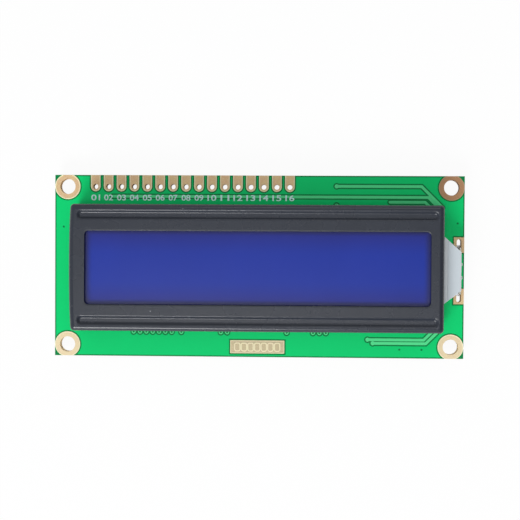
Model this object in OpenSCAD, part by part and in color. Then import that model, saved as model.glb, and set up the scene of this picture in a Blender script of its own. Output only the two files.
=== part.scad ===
// Character LCD module: a two-line dot-matrix display on its own circuit board.
// The board lies flat with the display facing up and stands on the twisted tabs of the bezel.
// X runs along the pin row, Y points from the display to the pin row, Z points out of the display.
// The origin is under the middle of the board, on the surface that the module stands on.

/* [Circuit board] */
// Length of the board
board_w = 80; // [79:0.5:90]
// Width of the board
board_h = 35.5; // [35:0.5:44]
// Thickness of the bare board
board_t = 1.6; // [0.8:0.2:2.4]
// Thickness of a copper layer
copper_t = 0.05; // [0.03:0.01:0.1]
// Width of the bare gap between copper areas
copper_gap = 0.25; // [0.15:0.05:0.35]
// Bare rim between the ground copper and the edge of the board
copper_rim = 0.25; // [0.2:0.05:0.6]
// Radius of the ground copper's corners
copper_corner_r = 1.2; // [0.8:0.1:2]
// Width of a wide trace
trace_w = 0.55; // [0.4:0.05:0.7]
// Width of a fine trace on the back
fine_trace_w = 0.25; // [0.15:0.05:0.3]
// Outer diameter of a small plated via
via_d = 0.8; // [0.6:0.1:1]

/* [Mounting holes] */
// Middle of a mounting hole, from the end of the board
hole_inset_x = 2.5; // [2.3:0.05:4]
// Middle of a mounting hole, from the long edge of the board
hole_inset_y = 2.25; // [2:0.05:3]
// Diameter of a mounting hole inside its plating
hole_d = 3; // [2.5:0.1:3.2]
// Diameter of the bare land around a mounting hole
hole_land_d = 5; // [4.4:0.1:5.4]
// Thickness of the plating in the board's holes
plating_t = 0.06; // [0.04:0.01:0.1]

/* [Pin row] */
// Number of pin holes
pin_count = 16; // [14:1:16]
// Distance from one pin hole to the next
pin_pitch = 2.54; // [2:0.01:2.54]
// First pin hole, from the left edge of the board
pin_start = 8; // [7:0.1:10]
// Line of the pin holes, from the upper edge of the board
pin_inset = 2.25; // [1.8:0.05:2.6]
// Diameter of a pin hole inside its plating
pin_hole_d = 1; // [0.8:0.05:1.1]
// Width of a pin's pad
pin_pad_w = 1.9; // [1.6:0.05:2]

/* [Backlight connection] */
// Middle of the backlight's nose, across the board
nose_y = -0.6; // [-1:0.1:0]
// Distance between the slots for the two backlight leads
slot_spacing = 10; // [9.6:0.1:11]
// Length of a lead slot
slot_len = 2.3; // [2:0.1:2.6]
// Width of a lead slot
slot_w = 0.9; // [0.8:0.05:1]
// Middle of the lead slots, from the right edge of the board
slot_inset = 1; // [0.9:0.05:1.2]
// Length of the pad around a lead slot
slot_pad_len = 3; // [2.8:0.1:3.2]

/* [Bezel] */
// Board left bare at each end of the bezel
bezel_end_margin = 4.1; // [4:0.05:5]
// Board left bare along each long side of the bezel
bezel_side_margin = 5.65; // [5.4:0.05:7]
// Thickness of the sheet steel
sheet_t = 0.45; // [0.3:0.05:0.6]
// Outer radius of the folded edges
bend_r = 1; // [0.8:0.05:1.2]
// Radius of the bezel's upright corners
corner_r = 0.7; // [0.5:0.1:1]
// Shift of the bezel's outline to the left of the display
bezel_shift = 0.5; // [0:0.02:0.6]
// Width of the bezel's face at the ends of the window
window_end_rim = 3.1; // [2.6:0.05:4]
// Width of the bezel's face along the window
window_side_rim = 5.1; // [4.6:0.05:6]
// Corner radius of the window
window_r = 0.8; // [0.4:0.1:1.2]
// Face left flat at each end of a pressed bead
bead_end_margin = 1.4; // [1.2:0.05:4]
// Width of a pressed bead on the face
bead_w = 1.8; // [1.6:0.1:2]
// Depth of a pressed bead
bead_depth = 0.45; // [0.3:0.05:0.5]
// Distance from the bezel's edge to the middle of a bead
bead_inset = 2.05; // [1.95:0.05:2.2]
// Number of tabs along each long side
tab_count = 4; // [3:1:5]
// Width of a tab's head
tab_w = 2.6; // [2:0.1:3]
// Width of a tab's neck
tab_neck_w = 1.3; // [1:0.1:1.6]
// Depth of a tab's head behind the board
tab_drop = 1.25; // [1.2:0.05:1.6]
// Angle that the tab heads are twisted by
tab_twist = 40; // [20:5:60]

/* [Display glass] */
// Middle of the display, across the board
display_y = -0.2; // [-0.4:0.1:0]
// Thickness of each sheet of glass
glass_t = 1.1; // [0.7:0.1:1.1]
// Thickness of each polariser
polariser_t = 0.2; // [0.15:0.05:0.25]
// Room between the glass and the bezel's walls
glass_room = 0.42; // [0.2:0.02:0.6]
// Width of a contact strip
strip_w = 2; // [1.6:0.1:2.2]
// Length that each contact strip stops short of the glass, at each end
strip_short = 1.5; // [1:0.1:3]
// Pitch of the contact fingers under the strips
finger_pitch = 1.6; // [1.2:0.1:2]

/* [Backlight] */
// Thickness of the light guide
guide_t = 3.6; // [3:0.1:4]
// Thickness of the reflector and diffuser films
film_t = 0.2; // [0.1:0.05:0.25]
// Width of the nose at its end
nose_tip_w = 7.5; // [7:0.1:8]
// Distance from the board's edge to the end of the nose
nose_inset = 1.04; // [0.9:0.02:1.2]
// Sideways run of the nose's sloping sides for each millimetre of length
nose_slope = 0.81; // [0.7:0.01:0.9]
// Thickness of the lamp board at the end of the nose
lamp_board_t = 0.6; // [0.4:0.1:0.8]
// Distance between the two lamps
lamp_pitch = 2.54; // [2.4:0.02:3]
// Width of a backlight lead
lead_w = 0.5; // [0.4:0.05:0.6]
// Thickness of a backlight lead
lead_t = 0.25; // [0.2:0.01:0.3]

/* [Parts on the back] */
// Diameter of an epoxy blob over a chip
blob_d = 14; // [12:0.5:15]
// Height of an epoxy blob
blob_height = 1.1; // [0.8:0.05:1.1]
// Distance between the two blobs
blob_spacing = 30; // [26:1:34]
// Length of a chip resistor or capacitor
chip_len = 2; // [1.6:0.1:2]
// Width of a chip resistor or capacitor
chip_w = 1.25; // [0.8:0.05:1.25]
// Height of a chip resistor
resistor_height = 0.5; // [0.4:0.05:0.6]
// Height of a chip capacitor
capacitor_height = 0.8; // [0.6:0.05:1]

/* [Hidden] */

// Straight cuts run past the surface that they cut by this much
over = 0.5;

// Heights of the layers, from the surface under the module
back_face = tab_drop;
board_back = back_face + copper_t;
board_front = board_back + board_t;
front_face = board_front + copper_t;
guide_z = front_face + film_t;
diffuser_z = guide_z + guide_t;
rear_polariser_z = diffuser_z + film_t;
lower_glass_z = rear_polariser_z + polariser_t;
upper_glass_z = lower_glass_z + glass_t;
glass_top = upper_glass_z + glass_t;
bezel_under = glass_top + bead_depth;
bezel_top = bezel_under + sheet_t;

// The bezel's plan
bezel_w = board_w - 2*bezel_end_margin;
bezel_h = board_h - 2*bezel_side_margin;
window_w = bezel_w - 2*window_end_rim;
window_h = bezel_h - 2*window_side_rim;
bead_len = bezel_w - 2*bead_end_margin;

// The display's plan
inner_half_w = bezel_w/2 - bezel_shift - sheet_t;
inner_half_h = bezel_h/2 - sheet_t;
glass_w = 2*(inner_half_w - glass_room);
glass_h = 2*(inner_half_h - glass_room);
bead_y = bezel_h/2 - bead_inset;
// Gap between a contact strip and the glass and backlight beside it
strip_gap = 0.15;
core_h = 2*(bead_y - strip_w/2 - strip_gap);
// Rims that the polarisers leave bare: at their ends, beside the beads, and on the lower glass
polariser_end = 0.8;
polariser_side = 0.35;
rear_rim = 0.5;
polariser_w = glass_w - 2*polariser_end;
polariser_h = 2*(bead_y - bead_w/2 - polariser_side);
strip_len = glass_w - 2*strip_short;
// The fingers keep this far inside the strips' ends and long sides
finger_margin = 1;
finger_short = 0.1;
// Share of the pitch that a finger fills
finger_fill = 0.55;
// Length and radius of the drop over the filling hole
seal_len = 4;
seal_r = 0.35;

// The bezel's small shapes
// Sideways run of a bead's sloping side, and extra width of its underside
bead_run = 0.5;
bead_grow = 0.35;
// Smallest inner radius of the upright corners
inner_corner_min = 0.1;

// The backlight's plan
nose_end = board_w/2 - nose_inset;
guide_end = nose_end - lamp_board_t;
taper_start = nose_end - (core_h/2 - nose_tip_w/2)/nose_slope;
wall_outside = bezel_w/2 - bezel_shift;
// Room round the nose in the bezel's notch
notch_room = 0.4;
notch_half = notch_room
    + min(core_h/2, nose_tip_w/2 + (nose_end - wall_outside + sheet_t)*nose_slope);
// The diffuser film runs this far past the bezel's wall, and the tape begins after a gap
film_past = 0.9;
film_gap = 0.05;
film_end = wall_outside + film_past;
// The tape keeps this far inside the sides of the nose
tape_margin = 0.12;
// Size of a lamp along the nose's end, into the light guide and upwards, and the room round it
lamp_len = 2;
lamp_deep = 1;
lamp_height = 2.4;
lamp_fit = 0.05;
lamp_solder_r = 0.45;
// The leads: place in the slots, arm on the lamp board, end behind the board, and solder there
lead_fit = 0.15;
lead_y = slot_spacing/2 - slot_len/2 + lead_fit;
lead_arm_h = 0.6;
lead_arm_z = guide_z + lead_arm_h;
lead_arm_lap = 0.8;
lead_stub = 0.8;
lead_solder_d = 1.5;
lead_solder_height = 0.6;

// The board's plan
hole_at = [for (sx = [-1, 1], sy = [-1, 1])
    [sx*(board_w/2 - hole_inset_x), sy*(board_h/2 - hole_inset_y)]];
pin_y = board_h/2 - pin_inset;
pin_at = [for (i = [0 : pin_count - 1]) [-board_w/2 + pin_start + i*pin_pitch, pin_y]];
slot_at = [for (s = [-1, 1]) [board_w/2 - slot_inset, nose_y + s*slot_spacing/2]];
slot_pad_w = 2*slot_inset;
tab_step = bezel_w/tab_count;
tab_y = bezel_h/2 - sheet_t/2;
tab_x = [for (i = [0 : tab_count - 1]) (i - (tab_count - 1)/2)*tab_step - bezel_shift];
tab_at = [for (x = tab_x, s = [-1, 1]) [x, display_y + s*tab_y, s]];
// Room round a tab's head in its slot, all told, and width of the bare land round the slot
tab_slot_fit = 0.3;
tab_land_margin = 0.5;
tab_slot_w = sheet_t + tab_slot_fit;
tab_slot_len = tab_w + tab_slot_fit;
// The bare plate for markings below the display
marking_w = 10.6;
marking_h = 2.55;
marking_up = 2;
marking_at = [-0.1, -board_h/2 + marking_up];

// Traces and vias on the front, placed from the bezel's corners, the pin row and the lower edge
corner_x = bezel_w/2 - bezel_shift;
bezel_lap = 0.27;
upper_edge_y = display_y + bezel_h/2 - bezel_lap;
lower_edge_y = display_y - bezel_h/2 + bezel_lap;
low_row_up = 3.6;
low_row_y = -board_h/2 + low_row_up;
// Each trace's start and turn, back from the corner, and its row
first_via_back = 20.2;
first_turn_back = 3.7;
first_row_up = 0.2;
second_start = 3.4;
second_turn_back = 2.4;
second_row_down = 1.9;
third_via_back = 9.8;
third_turn_back = 3;
third_row_down = 2.85;
low_via_back = 14;
low_turn_back = 3.1;
lowest_via_back = 13;
lowest_turn_back = 2.7;
lowest_row_down = 0.7;
row_via_drop = 0.65;
row_via_y = display_y - bezel_h/2 - row_via_drop;
via_hole_d = via_d/2;
front_ways = [
    dive(corner_x - first_via_back, corner_x - first_turn_back, pin_y + first_row_up, upper_edge_y),
    dive(pin_at[0].x + second_start, corner_x - second_turn_back, pin_y - second_row_down, upper_edge_y),
    dive(corner_x - third_via_back, corner_x - third_turn_back, pin_y - third_row_down, upper_edge_y),
    dive(corner_x - low_via_back, corner_x - low_turn_back, low_row_y, lower_edge_y),
    dive(corner_x - lowest_via_back, corner_x - lowest_turn_back, low_row_y - lowest_row_down,
        lower_edge_y)
];
front_vias = [
    front_ways[0][0], front_ways[3][0], front_ways[4][0],
    [corner_x - first_via_back, upper_edge_y + 0.32]
];
// Small filled vias that tie the ground copper of the two faces
ground_via_d = 0.4;
ground_via_at = [
    [corner_x - 7.8, low_row_y - 1.9], [corner_x - 3.5, low_row_y - 1.9],
    [-board_w/2 + 1.7, display_y + 7.8], [board_w/2 - 1.3, display_y + 8.8]
];
// Rows of vias just below the bezel: the tab each follows, its distance past the tab, and number
row_via_pitch = 1.25;
via_rows = [[0, 3, 7], [0, 12.4, 1], [1, 2.2, 2], [1, 15.1, 1], [2, 2.3, 3]];
row_vias = [for (r = via_rows, i = [0 : r[2] - 1])
    [tab_x[min(r[0], tab_count - 1)] + r[1] + i*row_via_pitch, row_via_y]];

// A trace along a row that turns at 45 degrees and runs under the bezel's edge
function dive(from_x, to_x, y, edge_y) = [[from_x, y], [to_x, y], [to_x + abs(y - edge_y), edge_y]];

// Blobs and their traces on the back
blob_y = 0.6;
controller_at = [-blob_spacing/2, blob_y];
driver_at = [blob_spacing/2, blob_y];
tab_land_half = tab_slot_len/2 + tab_land_margin;
// Traces of a fan, turn from one to the next at the blob, and pitch where they run straight
fan_count = 12;
fan_turn = 10;
fan_pitch = 1.5;
fan_gap = 0.15;
fan_start_r = blob_d/2 + fan_gap;
fan_via_y = tab_y - tab_slot_w/2 - tab_land_margin - 1.5;
fan_straight = 1;
small_via_d = 0.65;
small_via_hole_d = 0.28;
link_count = 4;
link_pitch = 1.2;

// Chips on the back: place and turn of each
resistor_count = 9;
resistor_pitch = 4.2;
// The row of resistors lies midway between the tabs' lands and the edge of the board
resistor_y = -(board_h/2 + tab_y + tab_slot_w/2 + tab_land_margin - display_y)/2;
resistor_start = -27;
resistor_at = [for (i = [0 : resistor_count - 1])
    [resistor_start + i*resistor_pitch, resistor_y, 0]];
outer_capacitor_x = 29.5;
outer_capacitor_y = 2;
middle_capacitor_y = 5.5;
capacitor_at = [
    [-outer_capacitor_x, outer_capacitor_y, 90], [outer_capacitor_x, outer_capacitor_y, 90],
    [0, middle_capacitor_y, 90]
];
// Length of a chip's end cap, reach of its land past the chip, and rim of the land round it
terminal_len = 0.35;
land_reach = 0.4;
land_rim = 0.05;
// Share of a chip's height that the solder climbs
fillet_rise = 0.7;
// Length of the short trace from a resistor's land to its via
stub_len = 0.3;

// ---------- plan shapes ----------

// Round-cornered rectangle, centred
module rounded_rect(w, h, r) {
    square([w - 2*r, h], center = true);
    square([w, h - 2*r], center = true);
    for (sx = [-1, 1], sy = [-1, 1])
        translate([sx*(w/2 - r), sy*(h/2 - r)]) circle(r, $fn = 48);
}

// Slot with round ends, centred, along X
module stadium(length, width) {
    square([length - width, width], center = true);
    for (s = [-1, 1]) translate([s*(length - width)/2, 0]) circle(d = width, $fn = 48);
}

// Trace of one width along a list of points, with eight-sided ends
module way(points, width) {
    for (i = [0 : len(points) - 2]) {
        step = points[i + 1] - points[i];
        translate(points[i]) rotate(atan2(step.y, step.x)) translate([0, -width/2])
            square([norm(step), width]);
    }
    for (p = points) translate(p) rotate(22.5) circle(d = width/cos(22.5), $fn = 8);
}

// Pad of a pin: from the board's upper edge to a round end about its hole
module pin_pad_shape(grow) {
    translate([-pin_pad_w/2 - grow, 0]) square([pin_pad_w + 2*grow, pin_inset]);
    circle(d = pin_pad_w + 2*grow, $fn = 48);
}

// Round hole in its round land
module ring_shape(outer, inner) {
    difference() {
        circle(d = outer, $fn = 64);
        circle(d = inner, $fn = 64);
    }
}

// ---------- circuit board and copper ----------

module board_outline() {
    square([board_w, board_h], center = true);
}

// The board's own holes, before plating
module board_holes() {
    for (p = hole_at) translate(p) circle(d = hole_d + 2*plating_t, $fn = 64);
    for (p = pin_at) translate(p) circle(d = pin_hole_d + 2*plating_t, $fn = 32);
    for (p = slot_at) translate(p) rotate(90) stadium(slot_len + 2*plating_t, slot_w + 2*plating_t);
    for (p = tab_at) translate([p.x, p.y]) square([tab_slot_len, tab_slot_w], center = true);
}

module circuit_board() {
    color([0.03, 0.42, 0.24])
    translate([0, 0, board_back]) linear_extrude(board_t) difference() {
        board_outline();
        board_holes();
    }
}

// Bare gaps in the ground copper round everything that isn't ground
module ground_gaps() {
    for (p = hole_at) translate(p) circle(d = hole_land_d + 2*copper_gap, $fn = 64);
    for (p = pin_at) translate(p) pin_pad_shape(copper_gap);
    for (p = slot_at) translate([p.x + over, p.y])
        square([slot_pad_w + 2*(copper_gap + over), slot_pad_len + 2*copper_gap], center = true);
    for (p = tab_at) translate([p.x, p.y]) square([tab_slot_len, tab_slot_w], center = true);
    for (w = front_ways) way(w, trace_w + 2*copper_gap);
    for (p = concat(front_vias, row_vias)) translate(p) circle(d = via_d + 2*copper_gap, $fn = 24);
    for (p = ground_via_at) translate(p) circle(d = ground_via_d, $fn = 24);
    translate(marking_at) square([marking_w + 2*copper_gap, marking_h + 2*copper_gap], center = true);
    for (s = [-1, 1]) translate([0, display_y + s*bead_y])
        square([strip_len, strip_w + 2*copper_gap], center = true);
}

module front_ground_copper() {
    color([0.05, 0.62, 0.36])
    translate([0, 0, board_front]) linear_extrude(copper_t) {
        difference() {
            rounded_rect(board_w - 2*copper_rim, board_h - 2*copper_rim, copper_corner_r);
            ground_gaps();
        }
    }
}

module front_traces() {
    color([0.05, 0.62, 0.36])
    translate([0, 0, board_front]) linear_extrude(copper_t) {
        for (w = front_ways) way(w, trace_w);
        for (p = concat(front_vias, row_vias)) translate(p) ring_shape(via_d, via_hole_d);
    }
}

// Plated hole: a thin tube through the board with a land on each face
module plated_hole(diameter) {
    translate([0, 0, back_face]) linear_extrude(front_face - back_face)
        ring_shape(diameter + 2*plating_t, diameter);
}

module mounting_hole_lands() {
    color([0.86, 0.74, 0.52])
    for (p = hole_at) translate(p) {
        plated_hole(hole_d);
        for (z = [back_face, board_front]) translate([0, 0, z]) linear_extrude(copper_t)
            intersection() {
                ring_shape(hole_land_d, hole_d + plating_t);
                translate(-p) board_outline();
            }
    }
}

module pin_pads() {
    color([0.83, 0.72, 0.52])
    for (p = pin_at) translate(p) {
        plated_hole(pin_hole_d);
        for (z = [back_face, board_front]) translate([0, 0, z]) linear_extrude(copper_t)
            difference() {
                pin_pad_shape(0);
                circle(d = pin_hole_d + plating_t, $fn = 64);
            }
    }
}

module backlight_pads() {
    color([0.85, 0.72, 0.5])
    for (p = slot_at) translate(p) {
        translate([0, 0, back_face]) linear_extrude(front_face - back_face) difference() {
            rotate(90) stadium(slot_len + 2*plating_t, slot_w + 2*plating_t);
            rotate(90) stadium(slot_len, slot_w);
        }
        for (z = [back_face, board_front]) translate([0, 0, z]) linear_extrude(copper_t)
            difference() {
                square([slot_pad_w, slot_pad_len], center = true);
                rotate(90) stadium(slot_len + plating_t, slot_w + plating_t);
            }
    }
}

module marking_pad() {
    color([0.72, 0.6, 0.35])
    translate([marking_at.x, marking_at.y, board_front]) linear_extrude(copper_t)
        square([marking_w, marking_h], center = true);
}

// Gold fingers that the contact strips press on
module contact_fingers() {
    count = floor((strip_len - 2*finger_margin)/finger_pitch);
    color([0.85, 0.72, 0.5])
    translate([0, 0, board_front]) linear_extrude(copper_t)
        for (s = [-1, 1], i = [0 : count - 1])
            translate([(i - (count - 1)/2)*finger_pitch, display_y + s*bead_y])
                square([finger_pitch*finger_fill, strip_w - 2*finger_short], center = true);
}

module tab_lands() {
    color([0.85, 0.72, 0.5])
    translate([0, 0, back_face]) linear_extrude(copper_t) for (p = tab_at)
        translate([p.x, p.y]) difference() {
            square([tab_slot_len + 2*tab_land_margin, tab_slot_w + 2*tab_land_margin], center = true);
            square([tab_slot_len, tab_slot_w], center = true);
        }
}

// Point on the rim of a blob's trace fan; s is 1 above the blob and -1 below it
function fan_start(centre, i, s) =
    let (turn = (i - (fan_count - 1)/2)*fan_turn)
    centre + fan_start_r*[sin(turn), s*cos(turn)];

// Fan of traces from a blob to a row of vias
module via_fan(centre, s) {
    for (i = [0 : fan_count - 1]) {
        x = centre.x + (i - (fan_count - 1)/2)*fan_pitch;
        way([fan_start(centre, i, s), [x, s*(fan_via_y - fan_straight)],
            [x, s*(fan_via_y - small_via_d/2)]], fine_trace_w);
        translate([x, s*fan_via_y]) ring_shape(small_via_d, small_via_hole_d);
    }
}

// Fan of traces from a blob up to the pins, leaving out those behind a tab
module pin_fan(centre, first_pin) {
    for (i = [0 : fan_count - 1]) {
        x = pin_at[first_pin + i].x;
        room = min([for (t = tab_at) abs(x - t.x)]) - tab_land_half;
        if (room > fine_trace_w)
            way([fan_start(centre, i, 1), [x, fan_via_y], [x, pin_y - pin_pad_w/2]], fine_trace_w);
    }
}

// Straight traces from one blob to the other
module blob_links(count, pitch) {
    for (i = [0 : count - 1]) {
        dy = (i - (count - 1)/2)*pitch;
        half = sqrt(fan_start_r*fan_start_r - dy*dy);
        way([controller_at + [half, dy], driver_at + [-half, dy]], fine_trace_w);
    }
}

module back_traces() {
    color([0.05, 0.62, 0.36])
    translate([0, 0, back_face]) linear_extrude(copper_t) {
        difference() {
            pin_fan(controller_at, 3);
            for (p = pin_at) translate(p) pin_pad_shape(0);
        }
        via_fan(controller_at, -1);
        via_fan(driver_at, 1);
        via_fan(driver_at, -1);
        blob_links(link_count, link_pitch);
        for (r = resistor_at) {
            stub_x = r.x + chip_len/2 + land_reach + fine_trace_w/2;
            way([[stub_x, r.y], [stub_x + stub_len, r.y]], fine_trace_w);
            translate([stub_x + stub_len + small_via_d/2, r.y]) ring_shape(small_via_d, small_via_hole_d);
        }
    }
}

// ---------- bezel ----------

// Upright block with rounded upper edges and rounded upright corners
module folded_block(w, h, height, r_edge, r_corner) {
    module arch(width) {
        translate([-width/2, 0]) square([width, height - r_edge]);
        translate([-width/2 + r_edge, 0]) square([width - 2*r_edge, height]);
        for (s = [-1, 1]) translate([s*(width/2 - r_edge), height - r_edge]) circle(r_edge, $fn = 48);
    }
    intersection() {
        rotate([90, 0, 90]) linear_extrude(w, center = true) arch(h);
        rotate([90, 0, 0]) linear_extrude(h, center = true) arch(w);
        linear_extrude(height) rounded_rect(w, h, r_corner);
    }
}

// Bead form with sloping sides: a bar with cone ends, wide end up, top at z = 0
module bead_form(width, depth) {
    low_w = width - 2*bead_run;
    run = bead_len - bead_w;
    rotate([90, 0, 90]) linear_extrude(run, center = true)
        polygon([[-width/2, 0], [-low_w/2, -depth], [low_w/2, -depth], [width/2, 0]]);
    for (s = [-1, 1]) translate([s*run/2, 0, -depth]) cylinder(depth, d1 = low_w, d2 = width, $fn = 48);
}

module bezel() {
    wall_h = bezel_top - front_face;
    color([0.16, 0.17, 0.2])
    translate([0, display_y, 0]) {
        difference() {
            translate([-bezel_shift, 0, front_face])
                folded_block(bezel_w, bezel_h, wall_h, bend_r, corner_r);
            translate([-bezel_shift, 0, front_face - over])
                folded_block(bezel_w - 2*sheet_t, bezel_h - 2*sheet_t, wall_h - sheet_t + over,
                    bend_r - sheet_t, max(corner_r - sheet_t, inner_corner_min));
            translate([0, 0, bezel_under - over]) linear_extrude(sheet_t + 2*over)
                rounded_rect(window_w, window_h, window_r);
            for (s = [-1, 1]) translate([0, s*bead_y, bezel_top]) bead_form(bead_w, bead_depth);
            translate([inner_half_w - over, nose_y - display_y - notch_half, front_face - over])
                cube([sheet_t + 2*over, 2*notch_half, rear_polariser_z - front_face + notch_room + over]);
        }
        for (s = [-1, 1]) translate([0, s*bead_y, bezel_under]) difference() {
            bead_form(bead_w + bead_grow, bead_depth);
            translate([0, 0, sheet_t]) bead_form(bead_w, bead_depth);
        }
    }
    color([0.16, 0.17, 0.2])
    for (p = tab_at) translate([p.x, p.y, 0]) {
        translate([-tab_neck_w/2, -sheet_t/2, tab_drop/2])
            cube([tab_neck_w, sheet_t, front_face - tab_drop/2 + over]);
        rotate(p[2]*tab_twist) translate([-tab_w/2, -sheet_t/2, 0]) cube([tab_w, sheet_t, tab_drop]);
    }
}

// ---------- display glass ----------

// Flat sheet in the middle of the display
module sheet(w, h, z, thickness) {
    translate([-w/2, display_y - h/2, z]) cube([w, h, thickness]);
}

module front_polariser() {
    color([0.14, 0.18, 0.58]) sheet(polariser_w, polariser_h, glass_top, polariser_t);
}

module upper_glass() {
    color([0.7, 0.85, 0.85]) sheet(glass_w, glass_h, upper_glass_z, glass_t);
}

module lower_glass() {
    color([0.7, 0.85, 0.85]) sheet(glass_w, core_h, lower_glass_z, glass_t);
}

module rear_polariser() {
    color([0.2, 0.22, 0.4]) sheet(polariser_w, core_h - 2*rear_rim, rear_polariser_z, polariser_t);
}

// Drop of resin over the filling hole, at the left end where the two glasses meet
module fill_hole_seal() {
    color([0.85, 0.8, 0.6])
    translate([-glass_w/2, display_y, upper_glass_z]) intersection() {
        rotate([90, 0, 0]) cylinder(seal_len, r = seal_r, center = true, $fn = 32);
        translate([-2*seal_r, -seal_len, -2*seal_r]) cube([2*seal_r, 2*seal_len, 4*seal_r]);
    }
}

// Striped rubber that joins the board's fingers to the glass
module contact_strip(s) {
    color([0.8, 0.45, 0.5])
    translate([-strip_len/2, display_y + s*bead_y - strip_w/2, front_face])
        cube([strip_len, strip_w, upper_glass_z - front_face]);
}

module upper_contact_strip() {
    contact_strip(1);
}

module lower_contact_strip() {
    contact_strip(-1);
}

// ---------- backlight ----------

// Plan of the light guide: a plate under the glass that narrows to the nose
module guide_outline(end_x) {
    tip = nose_tip_w/2 + (nose_end - end_x)*nose_slope;
    polygon([
        [-polariser_w/2, display_y - core_h/2], [taper_start, display_y - core_h/2],
        [end_x, nose_y - tip], [end_x, nose_y + tip],
        [taper_start, display_y + core_h/2], [-polariser_w/2, display_y + core_h/2]
    ]);
}

// Blocks of the two lamps on the inner face of the lamp board, with room round them
module lamp_blocks(room, past) {
    for (s = [-1, 1])
        translate([guide_end - lamp_deep - room, nose_y + s*lamp_pitch/2 - lamp_len/2 - room,
            guide_z + (guide_t - lamp_height)/2 - room])
            cube([lamp_deep + room + past, lamp_len + 2*room, lamp_height + 2*room]);
}

module reflector_film() {
    color([0.93, 0.93, 0.93])
    translate([0, 0, front_face]) linear_extrude(film_t) guide_outline(nose_end);
}

module light_guide() {
    color([0.84, 0.88, 0.9])
    difference() {
        translate([0, 0, guide_z]) linear_extrude(guide_t) guide_outline(guide_end);
        lamp_blocks(lamp_fit, over);
    }
}

module diffuser_film() {
    color([0.88, 0.91, 0.93])
    translate([0, 0, diffuser_z]) linear_extrude(film_t) intersection() {
        guide_outline(guide_end);
        translate([-board_w/2, -board_h/2]) square([board_w/2 + film_end, board_h]);
    }
}

// White tape over the lamps, a little inside the edges of the nose
module nose_tape() {
    color([0.8, 0.84, 0.86])
    translate([0, 0, diffuser_z]) linear_extrude(film_t) intersection() {
        translate([-tape_margin, 0]) guide_outline(nose_end);
        translate([film_end + film_gap, -board_h/2]) square([board_w, board_h]);
    }
}

module lamp_board() {
    color([0.9, 0.9, 0.86])
    translate([guide_end, nose_y - nose_tip_w/2, guide_z]) cube([lamp_board_t, nose_tip_w, guide_t]);
}

module lamps() {
    color([0.95, 0.9, 0.6]) lamp_blocks(0, 0);
}

// Solder of the lamps' legs, proud of the outer face of the lamp board
module lamp_solder() {
    color([0.8, 0.8, 0.8])
    for (s = [-1, 1]) translate([nose_end, nose_y + s*lamp_pitch/2, guide_z + guide_t/2])
        intersection() {
            sphere(lamp_solder_r, $fn = 32);
            translate([0, -lamp_solder_r, -lamp_solder_r]) cube(2*lamp_solder_r);
        }
}

// Flat leads from the lamp board, out sideways and down through the slots
module backlight_leads() {
    arm_y = nose_tip_w/2 - lead_arm_lap;
    color([0.75, 0.75, 0.72])
    for (s = [0, 1]) translate([nose_end, nose_y, 0]) mirror([0, s, 0]) {
        translate([0, arm_y, lead_arm_z]) cube([lead_t, lead_y + lead_w - arm_y, lead_arm_h]);
        translate([0, lead_y, board_back - lead_stub])
            cube([lead_t, lead_w, lead_arm_z + lead_arm_h - board_back + lead_stub]);
    }
}

// Solder round each lead behind the board
module lead_solder() {
    color([0.8, 0.8, 0.8])
    for (s = [0, 1]) translate([nose_end, nose_y, 0]) mirror([0, s, 0]) difference() {
        translate([lead_t/2, lead_y + lead_w/2, back_face]) mirror([0, 0, 1])
            cap(lead_solder_d, lead_solder_height);
        translate([0, lead_y, board_back - lead_stub]) cube([lead_t, lead_w, board_t]);
    }
}

// ---------- parts on the back ----------

// Cap of a sphere, standing on z = 0
module cap(diameter, height) {
    sphere_r = (diameter*diameter/4 + height*height)/(2*height);
    rotate_extrude($fn = 96) intersection() {
        translate([0, height - sphere_r]) circle(sphere_r, $fn = 720);
        square([diameter/2, height]);
    }
}

module blob(centre) {
    color([0.07, 0.07, 0.08])
    translate([centre.x, centre.y, board_back]) mirror([0, 0, 1]) cap(blob_d, blob_height);
}

module controller_blob() {
    blob(controller_at);
}

module driver_blob() {
    blob(driver_at);
}

// Puts its children at every chip of a list, on the lands behind the board
module at_chips(list) {
    for (c = list) translate([c.x, c.y, back_face]) rotate([180, 0, c[2]]) children();
}

module chip_body(height) {
    translate([terminal_len - chip_len/2, -chip_w/2, 0]) cube([chip_len - 2*terminal_len, chip_w, height]);
}

// End caps of one chip
module chip_ends(height) {
    for (s = [0, 1]) mirror([s, 0, 0])
        translate([chip_len/2 - terminal_len, -chip_w/2, 0]) cube([terminal_len, chip_w, height]);
}

// Solder that climbs the ends of one chip
module chip_fillets(height) {
    for (s = [0, 1]) mirror([s, 0, 0]) translate([chip_len/2, chip_w/2, 0]) rotate([90, 0, 0])
        linear_extrude(chip_w) polygon([[0, 0], [land_reach - land_rim, 0], [0, height*fillet_rise]]);
}

module chip_resistors() {
    color([0.1, 0.1, 0.11]) at_chips(resistor_at) chip_body(resistor_height);
}

module chip_capacitors() {
    color([0.72, 0.6, 0.42]) at_chips(capacitor_at) chip_body(capacitor_height);
}

module chip_terminals() {
    color([0.82, 0.82, 0.8]) {
        at_chips(resistor_at) chip_ends(resistor_height);
        at_chips(capacitor_at) chip_ends(capacitor_height);
    }
}

module chip_solder() {
    color([0.8, 0.8, 0.8]) {
        at_chips(resistor_at) chip_fillets(resistor_height);
        at_chips(capacitor_at) chip_fillets(capacitor_height);
    }
}

module component_lands() {
    color([0.85, 0.72, 0.5])
    for (c = concat(resistor_at, capacitor_at)) translate([c.x, c.y, back_face]) rotate(c[2])
        for (s = [0, 1]) mirror([s, 0, 0])
            translate([chip_len/2 - terminal_len, -chip_w/2 - land_rim, 0])
                cube([terminal_len + land_reach, chip_w + 2*land_rim, copper_t]);
}

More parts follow.
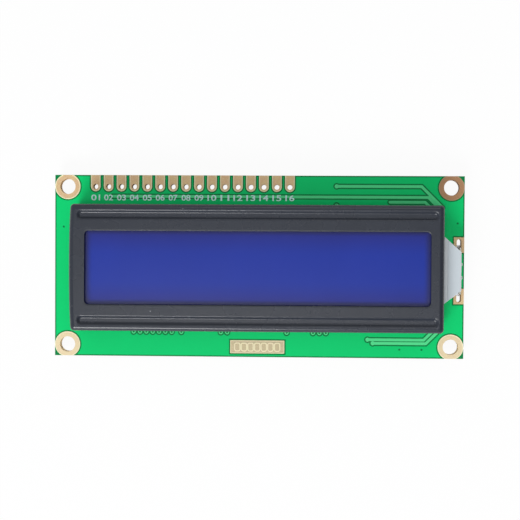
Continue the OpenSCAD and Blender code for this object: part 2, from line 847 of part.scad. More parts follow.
circuit_board();
front_ground_copper();
front_traces();
back_traces();
mounting_hole_lands();
pin_pads();
backlight_pads();
marking_pad();
contact_fingers();
tab_lands();
component_lands();
bezel();
front_polariser();
upper_glass();
lower_glass();
rear_polariser();
fill_hole_seal();
upper_contact_strip();
lower_contact_strip();
diffuser_film();
light_guide();
reflector_film();
nose_tape();
lamp_board();
lamps();
lamp_solder();
backlight_leads();
lead_solder();
controller_blob();
driver_blob();
chip_resistors();
chip_capacitors();
chip_terminals();
chip_solder();
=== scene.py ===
import math

import bpy
import numpy as np
from mathutils import Matrix, Vector


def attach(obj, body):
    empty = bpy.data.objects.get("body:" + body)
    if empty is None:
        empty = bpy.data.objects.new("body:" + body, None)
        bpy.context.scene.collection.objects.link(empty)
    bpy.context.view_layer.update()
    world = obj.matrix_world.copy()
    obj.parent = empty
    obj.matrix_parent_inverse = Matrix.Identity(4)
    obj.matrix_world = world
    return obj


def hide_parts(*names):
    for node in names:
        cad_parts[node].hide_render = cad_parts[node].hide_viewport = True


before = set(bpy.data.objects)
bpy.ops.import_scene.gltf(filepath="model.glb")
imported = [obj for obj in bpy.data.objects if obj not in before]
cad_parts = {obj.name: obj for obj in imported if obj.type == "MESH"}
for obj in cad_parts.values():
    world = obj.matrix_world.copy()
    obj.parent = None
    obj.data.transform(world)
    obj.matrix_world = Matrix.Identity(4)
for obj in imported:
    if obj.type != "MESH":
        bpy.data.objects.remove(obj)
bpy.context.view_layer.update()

# sizes in the dictionaries are in millimetres, and meshes are made in metres
mm = 0.001
tiny = 1e-9  # keeps a length that is divided by above nothing


def srgb(r, g, b):
    # screen colour from 0 to 255, as the linear colour that a shader takes
    c = np.array([r, g, b]) / 255
    return [float(x) for x in np.where(c <= 0.04045, c / 12.92, ((c + 0.055) / 1.055) ** 2.4)]


# shader maths: a wire carries a socket, and + - * / on it add the nodes

class Wire:
    def __init__(self, finish, socket):
        self.finish, self.socket = finish, socket

    def join(self, operation, *values):
        return self.finish.node("ShaderNodeMath", {"operation": operation}, dict(enumerate(values)))

    def __add__(self, other):
        return self.join("ADD", self, other)

    __radd__ = __add__

    def __sub__(self, other):
        return self.join("SUBTRACT", self, other)

    def __rsub__(self, other):
        return self.join("SUBTRACT", other, self)

    def __mul__(self, other):
        return self.join("MULTIPLY", self, other)

    __rmul__ = __mul__

    def __truediv__(self, other):
        return self.join("DIVIDE", self, other)

    def __rtruediv__(self, other):
        return self.join("DIVIDE", other, self)

    def __abs__(self):
        return self.join("ABSOLUTE", self)

    def over(self, level):
        return self.join("GREATER_THAN", self, level)

    def under(self, level):
        return self.join("LESS_THAN", self, level)

    def most(self, other):
        return self.join("MAXIMUM", self, other)

    def ramp(self, start, end):
        # 0 at start, 1 at end, eased and held beyond them; start may be the higher
        lo, hi, a, b = (start, end, 0.0, 1.0) if start < end else (end, start, 1.0, 0.0)
        return self.finish.node("ShaderNodeMapRange", {"interpolation_type": "SMOOTHSTEP"},
                                {0: self, 1: lo, 2: hi, 3: a, 4: b})


class Finish:
    def __init__(self, name, **fixed):
        self.material = bpy.data.materials.new(name)
        self.material.use_nodes = True
        self.tree = self.material.node_tree
        self.tree.nodes.clear()
        self.shader = self.tree.nodes.new("ShaderNodeBsdfPrincipled")
        self.out = self.tree.nodes.new("ShaderNodeOutputMaterial")
        self.tree.links.new(self.shader.outputs[0], self.out.inputs[0])
        for key, value in fixed.items():
            self.put(self.shader, key.replace("_", " "), value)
        place = self.node("ShaderNodeTexCoord", output="Object")
        # Object coordinates in millimetres
        self.place = self.scaled(place, 1 / mm)
        self.x, self.y, self.z = [self.node("ShaderNodeSeparateXYZ", None, {0: self.place}, k)
                                  for k in range(3)]

    def put(self, node, key, value):
        socket = node.inputs[key]
        if isinstance(value, Wire):
            self.tree.links.new(value.socket, socket)
        elif isinstance(value, (list, tuple)) and len(value) == 3 and socket.type == "RGBA":
            socket.default_value = (*value, 1)
        else:
            socket.default_value = value

    def node(self, kind, settings=None, values=None, output=0):
        node = self.tree.nodes.new(kind)
        for key, value in (settings or {}).items():
            setattr(node, key, value)
        for key, value in (values or {}).items():
            self.put(node, key, value)
        return Wire(self, node.outputs[output])

    def feed(self, **wires):
        for key, value in wires.items():
            self.put(self.shader, key.replace("_", " "), value)
        return self

    def noise(self, scale, detail=2.0, rough=0.5, stretch=(1, 1, 1)):
        # scale is in waves for each millimetre
        place = self.node("ShaderNodeVectorMath", {"operation": "MULTIPLY"}, {0: self.place, 1: stretch})
        return self.node("ShaderNodeTexNoise", None,
                         {"Vector": place, "Scale": scale, "Detail": detail, "Roughness": rough})

    def cells(self, scale):
        # distance to the nearest of the scattered points
        return self.node("ShaderNodeTexVoronoi", {"feature": "F1"}, {"Vector": self.place, "Scale": scale})

    def scaled(self, colour, share):
        # a colour made lighter or darker
        values = {"Vector": colour if isinstance(colour, Wire) else [*colour], "Scale": share}
        return self.node("ShaderNodeVectorMath", {"operation": "SCALE"}, values)

    def blend(self, factor, first, second):
        return self.node("ShaderNodeMix", {"data_type": "RGBA"}, {0: factor, 6: first, 7: second}, 2)

    def bump(self, height, distance, strength=1.0):
        values = {"Height": height, "Distance": distance * mm, "Strength": strength}
        return self.feed(Normal=self.node("ShaderNodeBump", None, values))


def dress(node, finish):
    # gives a node of the frame its material
    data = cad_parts[node].data
    data.materials.clear()
    data.materials.append(finish.material)


# meshes

def makePiece(name, points, faces, finish, stands=(), smooth=None):
    # points in millimetres; faces is an array of corner numbers, or a list of faces
    mesh = bpy.data.meshes.new(name)
    corners = faces.tolist() if isinstance(faces, np.ndarray) else faces
    mesh.from_pydata(np.asarray(points, float) * mm, [], corners)
    mesh.materials.append(finish.material)
    piece = bpy.data.objects.new(name, mesh)
    bpy.context.scene.collection.objects.link(piece)
    finishPiece(piece, stands, smooth)
    return piece


def finishPiece(piece, stands=(), smooth=None):
    if smooth is not None:
        piece.data.shade_smooth()
        if smooth:
            piece.data.set_sharp_from_angle(angle=math.radians(smooth))
    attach(piece, "root")
    if stands:
        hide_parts(*stands)


def gridFaces(rows, columns, closed=False):
    # quads between the points of a grid stored row by row; closed joins the last column to the first
    i, j = np.meshgrid(np.arange(rows - 1), np.arange(columns if closed else columns - 1), indexing="ij")
    here, beside = i * columns + j, i * columns + (j + 1) % columns
    return np.stack([here, beside, beside + columns, here + columns], -1).reshape(-1, 4)


def unitRows(q):
    # each row as a direction of length 1
    return q / np.maximum(np.linalg.norm(q, axis=1, keepdims=True), tiny)


def sweepFlat(path, profile, closed=False):
    # a profile of (sideways, up) points carried along a flat path of (x, y, z) points
    # each path point is moved sideways along its own normal, which is the mean of its two segments' normals
    path, profile = np.asarray(path, float), np.asarray(profile, float)
    back = np.roll(path, 1, 0) if closed else np.vstack([path[:1], path[:-1]])
    ahead = np.roll(path, -1, 0) if closed else np.vstack([path[1:], path[-1:]])
    legs = [unitRows(q[:, :2]) for q in (path - back, ahead - path)]
    if not closed:
        legs[0][0], legs[1][-1] = legs[1][0], legs[0][-1]
    along = unitRows(legs[0] + legs[1])
    sharpest = 0.5  # cosine past which a corner is blunted
    stretch = 1 / np.maximum((along * legs[0]).sum(1), sharpest)
    side = np.stack([along[:, 1], -along[:, 0]], 1) * stretch[:, None]
    flat = path[:, None, :2] + side[:, None, :] * profile[None, :, :1]
    up = path[:, None, 2:] + profile[None, :, 1:] + 0 * flat[..., :1]
    points = np.concatenate([flat, up], -1)
    rows, columns = points.shape[:2]
    if closed:
        faces = gridFaces(columns, rows, True)
        order = np.arange(rows * columns).reshape(rows, columns).T.reshape(-1)
        return points.reshape(-1, 3), order[faces][:, ::-1]
    return points.reshape(-1, 3), gridFaces(rows, columns)


def joinParts(parts):
    # several (points, faces) in one; a face is a list of corner numbers
    points, faces, count = [], [], 0
    for p, f in parts:
        points.append(p)
        faces += [[k + count for k in face] for face in (f.tolist() if isinstance(f, np.ndarray) else f)]
        count += len(p)
    return np.vstack(points), faces


def lowBead(width, height):
    # section of a low rim: a flat top with rounded shoulders, down to its base on both sides
    w, h = width / 2, height
    return [(-w, 0), (-w * 0.92, h * 0.6), (-w * 0.7, h), (w * 0.7, h), (w * 0.92, h * 0.6), (w, 0)]


# camera, lamps and floor

viewPlan = {
    "eye": (8.26, 5.54, 219.0), "aim": (0.34, 1.26, 2.95),
    "roll": 0.318, "field": 26.454,
}


def makeCamera():
    eye, aim = Vector(viewPlan["eye"]) * mm, Vector(viewPlan["aim"]) * mm
    ahead = (aim - eye).normalized()
    right = ahead.cross(Vector((0, 1, 0))).normalized()
    up = right.cross(ahead)
    turn = math.radians(viewPlan["roll"])
    c, s = math.cos(turn), math.sin(turn)
    right, up = right * c + up * s, up * c - right * s
    lens = bpy.data.cameras.new("camera")
    lens.sensor_width = 36
    lens.angle = math.radians(viewPlan["field"])
    lens.clip_start, lens.clip_end = 0.01, 20
    camera = bpy.data.objects.new("camera", lens)
    camera.matrix_world = Matrix.Translation(eye) @ Matrix((right, up, -ahead)).transposed().to_4x4()
    bpy.context.scene.collection.objects.link(camera)
    bpy.context.scene.camera = camera


lampPlan = {
    # direction that the lamp stands in (x, y, z), distance and size in metres, strength as radiance
    "key": {"toward": (-0.3, -0.74, 0.62), "far": 1.1, "size": (0.6, 0.34), "radiance": 13.0},
    "top": {"toward": (0.1, 0.75, 0.65), "far": 1.2, "size": (0.6, 0.2), "radiance": 2.5},
    "sheen": {"toward": (-0.02, -0.15, 1.0), "far": 1.2, "size": (0.6, 0.12), "radiance": 4.0},
}


def makeLamps():
    for name, plan in lampPlan.items():
        data = bpy.data.lights.new(name, "AREA")
        data.shape = "RECTANGLE"
        data.size, data.size_y = plan["size"]
        # an area lamp of power P and area A has a radiance of P / (pi A)
        data.energy = plan["radiance"] * math.pi * data.size * data.size_y
        toward = Vector(plan["toward"]).normalized()
        lamp = bpy.data.objects.new(name, data)
        lamp.location = toward * plan["far"]
        lamp.rotation_euler = toward.to_track_quat("Z", "Y").to_euler()
        bpy.context.scene.collection.objects.link(lamp)


def makeNodes(tree, *kinds):
    return [tree.nodes.new("ShaderNode" + kind) for kind in kinds]


worldPlan = {
    # the room's colour, and its strength from the left (start) to the right (end) along x
    "seen": (1, 1, 1, 1), "room": (0.97, 0.985, 1.0, 1),
    "startX": 0.1, "endX": 0.8, "startStrength": 0.6, "endStrength": 0.3,
}


def makeWorld():
    p = worldPlan
    world = bpy.data.worlds.new("studio")
    bpy.context.scene.world = world
    world.use_nodes = True
    tree = world.node_tree
    tree.nodes.clear()
    out, path, mix = makeNodes(tree, "OutputWorld", "LightPath", "MixShader")
    seen, dim = makeNodes(tree, "Background", "Background")
    seen.inputs[0].default_value = p["seen"]
    dim.inputs[0].default_value = p["room"]
    # the room is darker towards the right
    place, split, fade = makeNodes(tree, "TexCoord", "SeparateXYZ", "MapRange")
    tree.links.new(place.outputs["Generated"], split.inputs[0])
    tree.links.new(split.outputs[0], fade.inputs[0])
    for k, key in enumerate(("startX", "endX", "startStrength", "endStrength")):
        fade.inputs[k + 1].default_value = p[key]
    tree.links.new(fade.outputs[0], dim.inputs[1])
    for wire, k in ((path.outputs["Is Camera Ray"], 0), (dim.outputs[0], 1), (seen.outputs[0], 2)):
        tree.links.new(wire, mix.inputs[k])
    tree.links.new(mix.outputs[0], out.inputs[0])


floorPlan = {
    # half its width in metres, its colour, and the share of it that glows for the camera
    "half": 3.0, "colour": (0.9, 0.9, 0.9, 1), "glow": 0.93,
}


def makeFloor():
    p = floorPlan
    material = bpy.data.materials.new("paleFloor")
    material.use_nodes = True
    tree = material.node_tree
    tree.nodes.clear()
    out, path, side, amount = makeNodes(tree, "OutputMaterial", "LightPath", "NewGeometry", "Math")
    matt, glow, clear = makeNodes(tree, "BsdfDiffuse", "Emission", "BsdfTransparent")
    above, whole = makeNodes(tree, "MixShader", "MixShader")
    matt.inputs[0].default_value = p["colour"]
    amount.operation = "MULTIPLY"
    amount.inputs[1].default_value = p["glow"]
    tree.links.new(path.outputs["Is Camera Ray"], amount.inputs[0])
    # from below the floor is clear, so that the back of the module can be looked at
    for mix, wires in ((above, (amount.outputs[0], matt.outputs[0], glow.outputs[0])),
                       (whole, (side.outputs["Backfacing"], above.outputs[0], clear.outputs[0]))):
        for k, wire in enumerate(wires):
            tree.links.new(wire, mix.inputs[k])
    tree.links.new(whole.outputs[0], out.inputs[0])
    mesh = bpy.data.meshes.new("floor")
    r = p["half"]
    mesh.from_pydata([(-r, -r, 0), (r, -r, 0), (r, r, 0), (-r, r, 0)], [], [(0, 1, 2, 3)])
    mesh.materials.append(material)
    floor = bpy.data.objects.new("floor", mesh)
    bpy.context.scene.collection.objects.link(floor)


makeCamera()
makeLamps()
makeWorld()
makeFloor()
bpy.context.scene.view_settings.view_transform = "Standard"
print("studio made")


# finishes

boardFinish = {
    # the darker green of the mask over bare laminate is partly its own colour and partly painted shade for the
    # valleys in the gaps of the copper
    "copperGreen": srgb(6, 212, 116), "bareGreenAndGapShade": srgb(6, 132, 70), "laminate": srgb(196, 190, 130),
    "traceGreen": srgb(90, 232, 150),
    "gold": srgb(222, 190, 146), "cream": srgb(246, 236, 200), "paintedCornerShade": srgb(176, 128, 90),
    "plate": srgb(150, 120, 66), "ink": srgb(214, 250, 246),
}


def maskFinish(name, colour, edge=None):
    # solder mask: an even green with soft clouds, a faint orange peel, and laminate on the cut edges
    f = Finish(name, Specular_IOR_Level=0.1)
    clouds = f.noise(0.16, 3, 0.5)
    grain = f.noise(2.2, 2, 0.6)
    shade = 0.92 + 0.11 * clouds + 0.05 * grain
    tone = f.scaled(colour, shade)
    if edge:
        low, high = edge
        margin = 0.04  # the mask laps a little over the edge
        layers = f.noise(1.2, 2, 0.6, (0.5, 0.5, 9))
        pale = boardFinish["laminate"]
        fibre = f.blend(layers.ramp(0.35, 0.7), [c * 0.62 for c in pale], pale)
        inside = abs(f.z - (low + high) / 2).under((high - low) / 2 - margin)
        tone = f.blend(inside, tone, fibre)
    f.feed(Base_Color=tone, Roughness=0.3 + 0.12 * clouds)
    f.bump(f.noise(0.9, 2, 0.5) + 0.25 * f.noise(6, 1, 0.5), 0.012, 0.6)
    return f


def goldFinish(name, colour, metal=0.35, rough=0.42):
    # thin gold plating: blotches of pink and yellow and fine grain, with painted light: paler towards the lower edge
    # of the board as a painted reflection of the overhead lamp, and darker and browner at its far right corner as
    # painted shade
    f = Finish(name, IOR=1.45)
    blotch = f.noise(0.9, 3, 0.6)
    fine = f.noise(5, 3, 0.6)
    tone = f.blend(blotch.ramp(0.35, 0.65), [colour[0], colour[1] * 0.93, colour[2] * 0.92],
                   [colour[0] * 1.02, colour[1] * 1.05, colour[2] * 0.95])
    tone = f.blend(0.35 * fine.ramp(0.45, 0.75), tone, boardFinish["cream"])
    # painted shade: the plating is darkened and browned towards the far right corner of the board
    corner = (f.x - 33.0).ramp(0, 2) * (f.y - 11.0).ramp(0, 2)
    tone = f.blend(corner * 0.85, tone, boardFinish["paintedCornerShade"])
    # painted reflection: the plating is paled towards the lower edge of the board, as if it mirrored the overhead
    # lamp
    paintedLowerSheen = f.y.ramp(-10, -14)
    tone = f.blend(paintedLowerSheen * 0.5, tone, boardFinish["cream"])
    f.feed(Base_Color=tone, Metallic=metal, Roughness=rough + 0.12 * blotch)
    f.bump(fine + 0.5 * f.noise(1.4, 2, 0.5), 0.01, 0.5)
    return f


def plainFinish(name, colour, rough, spread=0.08, scale=2.0, depth=0.008, metal=0.0, **fixed):
    # an even coat with slight clouds in colour and gloss, and a fine grain
    f = Finish(name, Metallic=metal, **fixed)
    clouds = f.noise(scale, 3, 0.55)
    tone = f.scaled(colour, 1 - spread / 2 + spread * clouds)
    f.feed(Base_Color=tone, Roughness=rough * (0.9 + 0.2 * clouds))
    f.bump(f.noise(scale * 4, 2, 0.6), depth, 0.6)
    return f


bezelPaint = {
    "colour": srgb(38, 43, 54), "rough": 0.22, "peelDepth": 0.006, "chip": srgb(170, 172, 176),
    "nickScale": 0.42, "nickSize": 0.035,
}


def steelFinish():
    # black coat on steel: bluish clouds, orange peel, a few bright nicks where the coat is chipped
    f = Finish("blackCoat", IOR=1.5)
    clouds = f.noise(0.25, 3, 0.5)
    tone = f.scaled(bezelPaint["colour"], 0.88 + 0.24 * clouds)
    nick = f.cells(bezelPaint["nickScale"]).under(bezelPaint["nickSize"]) * f.noise(0.11, 1, 0.5).over(0.56)
    f.feed(Base_Color=f.blend(nick, tone, bezelPaint["chip"]), Roughness=bezelPaint["rough"] + 0.1 * clouds)
    f.bump(f.noise(5, 3, 0.6) + 0.6 * f.noise(1.6, 2, 0.5), bezelPaint["peelDepth"], 0.7)
    return f


screenPlan = {
    # the film's colour in the middle, a painted shade of violet towards the long sides, and a painted shadow of the
    # bezel at the very edge
    "middle": srgb(12, 44, 152), "edge": srgb(24, 28, 84), "violetSideShade": srgb(28, 34, 122),
    "halfW": 32.8, "halfH": 7.0, "centreY": -0.2,
}


def screenFinish():
    # blue film: deepest in the middle, with painted shade towards violet at the long sides and a painted shadow of
    # the bezel at the very edge
    f = Finish("blueFilm", Specular_IOR_Level=0.35)
    across = abs(f.y - screenPlan["centreY"]) / screenPlan["halfH"]
    along = abs(f.x) / screenPlan["halfW"]
    tone = f.blend(across.ramp(0.3, 1.0) * 0.75, screenPlan["middle"], screenPlan["violetSideShade"])
    # painted shadow of the bezel's window edge: a dark band along the edges of the film
    paintedBezelShadow = (along.ramp(0.955, 1.0)).most(across.ramp(0.86, 1.02))
    tone = f.blend(paintedBezelShadow * 0.85, tone, screenPlan["edge"])
    wisps = f.noise(0.09, 3, 0.5, (1, 0.35, 1))
    tone = f.scaled(tone, 0.9 + 0.2 * wisps)
    f.feed(Base_Color=tone, Roughness=0.2 + 0.05 * wisps)
    f.bump(f.noise(8, 2, 0.5), 0.002, 0.3)
    return f


finishes = {
    "laminate": maskFinish("maskOverLaminate", boardFinish["bareGreenAndGapShade"], (1.3, 2.9)),
    "copper": maskFinish("maskOverCopper", boardFinish["copperGreen"]),
    "trace": maskFinish("maskOverTrace", boardFinish["traceGreen"]),
    "gold": goldFinish("goldPlate", boardFinish["gold"]),
    # the pale cream of the pad rims is a painted highlight on the pads' lit edges; the plate's marks share this
    # finish as cream print
    "cream": goldFinish("creamPrintAndRimHighlight", boardFinish["cream"], 0.1, 0.5),
    "plate": goldFinish("markingPlate", boardFinish["plate"]),
    "ink": plainFinish("whiteInk", boardFinish["ink"], 0.6, 0.12, 3.0),
    "coat": steelFinish(),
    "film": screenFinish(),
    "glass": plainFinish("cellGlass", srgb(150, 178, 170), 0.1, 0.05, 1.0, 0.001, Alpha=0.55),
    "rearFilm": plainFinish("greyFilm", srgb(70, 74, 96), 0.3),
    "resin": plainFinish("clearResin", srgb(214, 205, 160), 0.25),
    "rubber": plainFinish("stripRubber", srgb(196, 140, 150), 0.7, 0.2, 3.0),
    "whiteFilm": plainFinish("whiteFilm", srgb(222, 228, 232), 0.55),
    "tape": plainFinish("whiteTape", srgb(205, 214, 220), 0.5, 0.06, 0.5, 0.01),
    "acrylic": plainFinish("milkyAcrylic", srgb(226, 234, 238), 0.18),
    "lampBoard": plainFinish("lampLaminate", srgb(228, 232, 232), 0.5),
    "lamp": plainFinish("lampBody", srgb(240, 228, 150), 0.45),
    "solder": plainFinish("tinSolder", srgb(214, 216, 218), 0.28, 0.15, 3.0, 0.01, 0.85),
    "wire": plainFinish("tinnedStrip", srgb(206, 206, 200), 0.35, 0.1, 3.0, 0.006, 0.9),
    "epoxy": plainFinish("blackEpoxy", srgb(24, 24, 27), 0.32, 0.3, 0.6, 0.03),
    "resistor": plainFinish("resistorCoat", srgb(30, 30, 33), 0.4, 0.2, 4.0, 0.01),
    "capacitor": plainFinish("capacitorBody", srgb(176, 142, 98), 0.5, 0.2, 4.0, 0.01),
}

wears = {
    "laminate": ["circuit_board"],
    "copper": ["front_ground_copper", "back_traces"],
    "trace": ["front_traces"],
    "gold": ["mounting_hole_lands", "pin_pads", "backlight_pads", "contact_fingers", "tab_lands", "component_lands"],
    "plate": ["marking_pad"],
    "film": ["front_polariser"],
    "glass": ["upper_glass", "lower_glass"],
    "rearFilm": ["rear_polariser"],
    "resin": ["fill_hole_seal"],
    "rubber": ["upper_contact_strip", "lower_contact_strip"],
    "whiteFilm": ["diffuser_film", "reflector_film"],
    "tape": ["nose_tape"],
    "acrylic": ["light_guide"],
    "lampBoard": ["lamp_board"],
    "lamp": ["lamps"],
    "solder": ["lamp_solder", "lead_solder", "chip_terminals", "chip_solder"],
    "wire": ["backlight_leads"],
    "epoxy": ["controller_blob", "driver_blob"],
    "resistor": ["chip_resistors"],
    "capacitor": ["chip_capacitors"],
}

for kind, nodes in wears.items():
    for node in nodes:
        dress(node, finishes[kind])
print("finishes made")


# bezel

bezelPlan = {
    "centre": (-0.28, -0.2), "w": 71.3, "h": 24.2, "top": 10.25, "foot": 2.95, "bend": 1.0,
    "cornerR": 0.7, "bendR": 0.35, "sheet": 0.45, "bow": 0.3,
    "windowW": 65.6, "windowH": 14.0, "windowR": 0.8, "lip": 0.1,
    "bowReach": 2.2, "bowPower": 2.5,
    "beadLen": 68.8, "beadW": 1.9, "beadDepth": 0.45, "beadY": 10.05,
    "beadWall": (0.28, 1.04),  # where the bead's wall starts and ends, as shares of its half width
    "denseEnd": 5.0, "fineSteps": 36, "coarseSteps": 44, "cornerSteps": 7,
    "noseY": -0.6, "notchHalf": 7.1, "notchTop": 7.35,
    "tabW": 2.6, "neckW": 1.3, "tabTwist": 40, "tabDrop": 1.25, "tabCount": 4,
}


def loopPoints(sides, corner):
    # shares along a closed round-cornered rectangle: for each sample its side, its place along the side,
    # and its turn in a corner; a corner has its own samples, so the straight parts keep theirs
    rows = []
    for k, share in enumerate(sides):
        rows.append(np.stack([np.full(len(share), k), share, np.zeros(len(share))], 1))
        turns = (np.arange(corner) + 1) / (corner + 1)
        rows.append(np.stack([np.full(corner, k), np.ones(corner), turns], 1))
    return np.vstack(rows)


def roundedLoop(keys, halfW, halfH, r):
    # the points of one round-cornered rectangle at those keys: a straight side runs between the ends of
    # its two corners, and a corner's samples turn a quarter circle about its centre
    side, share, turn = keys[:, 0].astype(int), keys[:, 1], keys[:, 2]
    starts = np.array([(-1, -1), (1, -1), (1, 1), (-1, 1)])
    heads = np.array([(1, 0), (0, 1), (-1, 0), (0, -1)])
    half = np.array([halfW, halfH])
    inner = half - r
    outward = np.stack([heads[side][:, 1], -heads[side][:, 0]], 1)
    begin = starts[side] * inner + outward * r
    length = 2 * np.abs(heads[side] @ np.diag(inner)).sum(1)
    straight = begin + heads[side] * (share * length)[:, None]
    centre = starts[(side + 1) % 4] * inner
    angle = turn * math.pi / 2
    arc = centre + r * (outward * np.cos(angle)[:, None] + heads[side] * np.sin(angle)[:, None])
    return np.where((turn > 0)[:, None], arc, straight)


def easeBetween(q, start, end):
    q = np.clip((q - start) / (end - start), 0, 1)
    return q * q * (3 - 2 * q)


def makeBezel():
    # one skin, from the window's edge over the face, round the bend and down the wall, thickened inwards
    # the face sinks by the bead's depth where a point is closer to a bead's middle line than half its width
    p = bezelPlan
    ends = p["denseEnd"] / p["w"]
    fine, coarse = p["fineSteps"], p["coarseSteps"]
    longSide = np.concatenate([np.linspace(0, ends, fine, endpoint=False),
                               np.linspace(ends, 1 - ends, coarse, endpoint=False),
                               np.linspace(1 - ends, 1, fine + 1)])
    notch = np.array([p["noseY"] - p["notchHalf"], p["noseY"] + p["notchHalf"]]) - p["centre"][1]
    cut = (notch + p["h"] / 2 - p["cornerR"]) / (p["h"] - 2 * p["cornerR"])
    sharp = 0.0006  # share of the side over which the notch's own sides rise
    cuts = np.array([cut[0] - sharp, cut[0], cut[1], cut[1] + sharp])
    plain = np.concatenate([np.linspace(0, 0.25, 40), np.linspace(0.25, 0.75, 16), np.linspace(0.75, 1, 40)])
    otherSide = np.unique(plain)
    notchSide = np.unique(np.concatenate([plain, cuts]))
    keys = loopPoints([longSide, notchSide, longSide, otherSide], p["cornerSteps"])
    wHalf, hHalf = p["w"] / 2, p["h"] / 2
    beadStart = 0.42  # share of the way from window to bend past which the loops stand close, for the bead
    shares = np.concatenate([np.linspace(0, beadStart, 8)[1:], np.linspace(beadStart, 1, 44)[1:]])
    loops = []
    # window lip: a small quarter round
    for a in np.linspace(0, math.pi / 2, 5):
        grow = p["lip"] * (1 - math.cos(a))
        xy = roundedLoop(keys, p["windowW"] / 2 + grow, p["windowH"] / 2 + grow, p["windowR"] + grow)
        z = np.full(len(keys), p["top"] - p["lip"] * (1 - math.sin(a)))
        loops.append(np.column_stack([xy + [0, p["centre"][1]], z]))
    for s in shares:
        halfW = (p["windowW"] / 2 + p["lip"]) * (1 - s) + (wHalf - p["bend"]) * s
        halfH = (p["windowH"] / 2 + p["lip"]) * (1 - s) + (hHalf - p["bend"]) * s
        r = (p["windowR"] + p["lip"]) * (1 - s) + p["bendR"] * s
        xy = roundedLoop(keys, halfW, halfH, r) + [p["centre"][0] * s, p["centre"][1]]
        loops.append(np.column_stack([xy, np.full(len(keys), p["top"])]))
    # the bend: a quarter round down to the wall
    for a in np.linspace(0, math.pi / 2, 11)[1:]:
        out = p["bend"] * (math.sin(a) - 1)
        r = p["bendR"] + (p["cornerR"] - p["bendR"]) * math.sin(a)
        xy = roundedLoop(keys, wHalf + out, hHalf + out, r) + list(p["centre"])
        loops.append(np.column_stack([xy, np.full(len(keys), p["top"] - p["bend"] * (1 - math.cos(a)))]))
    xyWall = loops[-1][:, :2]
    inNotch = (np.abs(xyWall[:, 1] - p["noseY"]) < p["notchHalf"] - 1e-6) & (xyWall[:, 0] > 0)
    foot = np.where(inNotch, p["notchTop"], p["foot"])
    for s in np.linspace(0, 1, 7)[1:]:
        loops.append(np.column_stack([xyWall, (p["top"] - p["bend"]) * (1 - s) + foot * s]))
    points = np.stack(loops)
    x, y = points[..., 0], points[..., 1]
    run = (p["beadLen"] - p["beadW"]) / 2
    off = np.hypot(np.maximum(np.abs(x) - run, 0), np.abs(np.abs(y - p["centre"][1]) - p["beadY"]))
    face = points[..., 2] > p["top"] - 1e-6
    sink = p["beadDepth"] * (1 - easeBetween(off / (p["beadW"] / 2), *p["beadWall"]))
    points[..., 2] -= np.where(face, sink, 0)
    # the left wall bows: it is drawn in a little towards its corners
    leftness = easeBetween(-x, p["w"] / 2 - p["bowReach"], p["w"] / 2)
    points[..., 0] += p["bow"] * leftness * (np.abs(y - p["centre"][1]) / hHalf) ** p["bowPower"]
    rows, columns = points.shape[:2]
    faces = gridFaces(rows, columns, True)[:, ::-1]
    piece = makePiece("bezelShell", points.reshape(-1, 3), faces, finishes["coat"],
                      ["bezel"], 50)
    wall = piece.modifiers.new("sheet", "SOLIDIFY")
    wall.thickness, wall.offset = p["sheet"] * mm, -1
    return piece


def makeTabs():
    # each tab is a rectangle carried down from the wall's foot: the neck is narrow, the head wide and twisted
    # the section's turn and width ease from neck to head as a function of height
    p = bezelPlan
    foot, drop = p["foot"], p["tabDrop"]
    levels = np.array([foot + 0.3, foot, drop + 0.35, drop + 0.12, drop - 0.05, drop * 0.5, 0.06, 0.0])
    tip = levels <= 0.05  # the last loop is drawn in, which rounds the tab's end
    twist = np.radians(p["tabTwist"]) * easeBetween(-levels, -(foot + 0.1), -(drop - 0.1))
    width = np.where(levels > drop, p["neckW"], p["tabW"]) * np.where(tip, 0.96, 1)
    thick = p["sheet"] * np.where(tip, 0.86, 1)
    u = np.array([-0.5, -0.44, 0.44, 0.5, 0.5, 0.44, -0.44, -0.5])
    v = np.array([-0.42, -0.5, -0.5, -0.42, 0.42, 0.5, 0.5, 0.42])
    parts = []
    step = p["w"] / p["tabCount"]
    for k in range(p["tabCount"]):
        for s in (-1, 1):
            cx = (k - (p["tabCount"] - 1) / 2) * step + p["centre"][0]
            cy = p["centre"][1] + s * (p["h"] / 2 - p["sheet"] / 2)
            c, t = np.cos(s * twist[:, None]), np.sin(s * twist[:, None])
            a, b = width[:, None] * u, thick[:, None] * v
            points = np.stack([cx + a * c - b * t, cy + a * t + b * c, levels[:, None] + 0 * a], -1)
            rows, columns = points.shape[:2]
            parts.append((points.reshape(-1, 3), gridFaces(rows, columns, True)[:, ::-1]))
    points, faces = joinParts(parts)
    size = rows * columns  # points of one tab
    caps = [list(range((n + 1) * size - columns, (n + 1) * size))[::-1] for n in range(len(parts))]
    tops = [list(range(n * size, n * size + columns)) for n in range(len(parts))]
    return makePiece("bezelTabs", points, faces + caps + tops, finishes["coat"], ["bezel"], 40)


makeBezel()
makeTabs()
print("bezel made")


# rims, ink and marks on the board

boardPlan = {
    "w": 80.0, "h": 35.5, "face": 2.95, "holeX": 37.5, "holeY": 15.5, "landR": 2.5,
    "pinCount": 16, "pinPitch": 2.54, "pinStart": 8.0, "pinInset": 2.25, "padW": 1.9,
    "rimW": 0.2, "rimH": 0.02, "sunk": 0.004,  # a rim's base lies a little inside the board
}


def arcPoints(cx, cy, r, start, end, count, z):
    a = np.radians(np.linspace(start, end, count))
    return np.column_stack([cx + r * np.cos(a), cy + r * np.sin(a), np.full(count, z)])


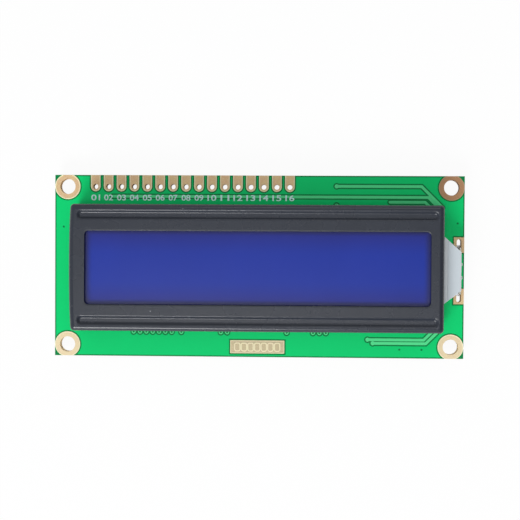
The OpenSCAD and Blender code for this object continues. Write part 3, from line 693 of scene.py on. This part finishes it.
def makeRims():
    # pale rims where the mask meets the pads: a low bead carried along each pad's outline; its pale cream colour is
    # a painted highlight on the pads' lit edges
    b = boardPlan
    z = b["face"] - b["sunk"]
    bead = lowBead(b["rimW"], b["rimH"])
    parts = []
    top = b["h"] / 2
    for i in range(b["pinCount"]):
        x = -b["w"] / 2 + b["pinStart"] + i * b["pinPitch"]
        y = top - b["pinInset"]
        r = b["padW"] / 2 - b["rimW"] / 2
        half = arcPoints(x, y, r, 0, -180, 25, z)
        path = np.vstack([[x + r, top - 0.05, z], half, [x - r, top - 0.05, z]])
        parts.append(sweepFlat(path, bead))
    for sx in (-1, 1):
        for sy in (-1, 1):
            cx, cy = sx * b["holeX"], sy * b["holeY"]
            r = b["landR"] - b["rimW"] / 2
            edge = math.degrees(math.asin((top - b["holeY"] - 0.03) / r))
            # the ring is cut off where it meets the edge of the board
            start, end = (180 - edge, 360 + edge) if sy > 0 else (-edge, 180 + edge)
            parts.append(sweepFlat(arcPoints(cx, cy, r, start, end, 73, z), bead))
    points, faces = joinParts(parts)
    return makePiece("padRims", points, faces, finishes["cream"], smooth=60)


numberPlan = {"w": 1.75, "h": 1.15, "y": 13.35, "lift": 0.015, "bolder": 0.018}


def makeNumbers():
    # plain numbers of the pins in white ink, each stretched to the same box
    b, p = boardPlan, numberPlan
    made = []
    for i in range(b["pinCount"]):
        curve = bpy.data.curves.new("number", "FONT")
        curve.body = "%02d" % (i + 1)
        curve.size = 1.0
        curve.align_x, curve.align_y = "CENTER", "CENTER"
        curve.offset = p["bolder"]
        curve.extrude = 0.0
        text = bpy.data.objects.new("number", curve)
        bpy.context.scene.collection.objects.link(text)
        bpy.context.view_layer.update()
        mesh = bpy.data.meshes.new_from_object(text.evaluated_get(bpy.context.evaluated_depsgraph_get()))
        bpy.data.objects.remove(text)
        xs = np.array([v.co[:] for v in mesh.vertices])
        lo, hi = xs.min(0), xs.max(0)
        flat = xs - (lo + hi) / 2
        flat[:, :2] *= [p["w"] / (hi[0] - lo[0]), p["h"] / (hi[1] - lo[1])]
        flat += [-b["w"] / 2 + b["pinStart"] + i * b["pinPitch"], p["y"], b["face"] + p["lift"]]
        made.append((flat, [tuple(q.vertices) for q in mesh.polygons]))
        bpy.data.meshes.remove(mesh)
    points, faces = joinParts(made)
    return makePiece("pinNumbers", points, faces, finishes["ink"])


markPlan = {
    "centre": (-0.1, -15.75), "w": 10.6, "h": 2.55, "count": 7, "margin": 0.75,
    "boxW": 1.05, "boxH": 1.55, "boxR": 0.35, "line": 0.24, "lineH": 0.03, "drop": 0.03,
    "edgeIn": 0.16, "edgeR": 0.05, "edgeLine": 0.16, "edgeH": 0.02,
}


def makeMarks():
    # a row of plain hollow boxes, and a pale line round the plate
    p, z = markPlan, boardPlan["face"] - boardPlan["sunk"]
    parts = []
    corner = np.array([(1, 1), (-1, 1), (-1, -1), (1, -1)])

    def frameLine(cx, cy, w, h, r, width, height):
        turns = [(0, 90), (90, 180), (180, 270), (270, 360)]
        x, y = (corner * [w / 2 - r, h / 2 - r] + [cx, cy]).T
        path = np.vstack([arcPoints(x[k], y[k], r, *turns[k], 6, z) for k in range(4)])
        return sweepFlat(path, lowBead(width, height), True)

    step = (p["w"] - 2 * p["margin"]) / p["count"]
    for k in range(p["count"]):
        x = p["centre"][0] + (k - (p["count"] - 1) / 2) * step
        y = p["centre"][1] - p["drop"]
        parts.append(frameLine(x, y, p["boxW"], p["boxH"], p["boxR"], p["line"], p["lineH"]))
    w, h = p["w"] - p["edgeIn"], p["h"] - p["edgeIn"]
    parts.append(frameLine(*p["centre"], w, h, p["edgeR"], p["edgeLine"], p["edgeH"]))
    points, faces = joinParts(parts)
    return makePiece("plateMarks", points, faces, finishes["cream"], smooth=60)


makeRims()
makeNumbers()
makeMarks()
print("rims, numbers and marks made")
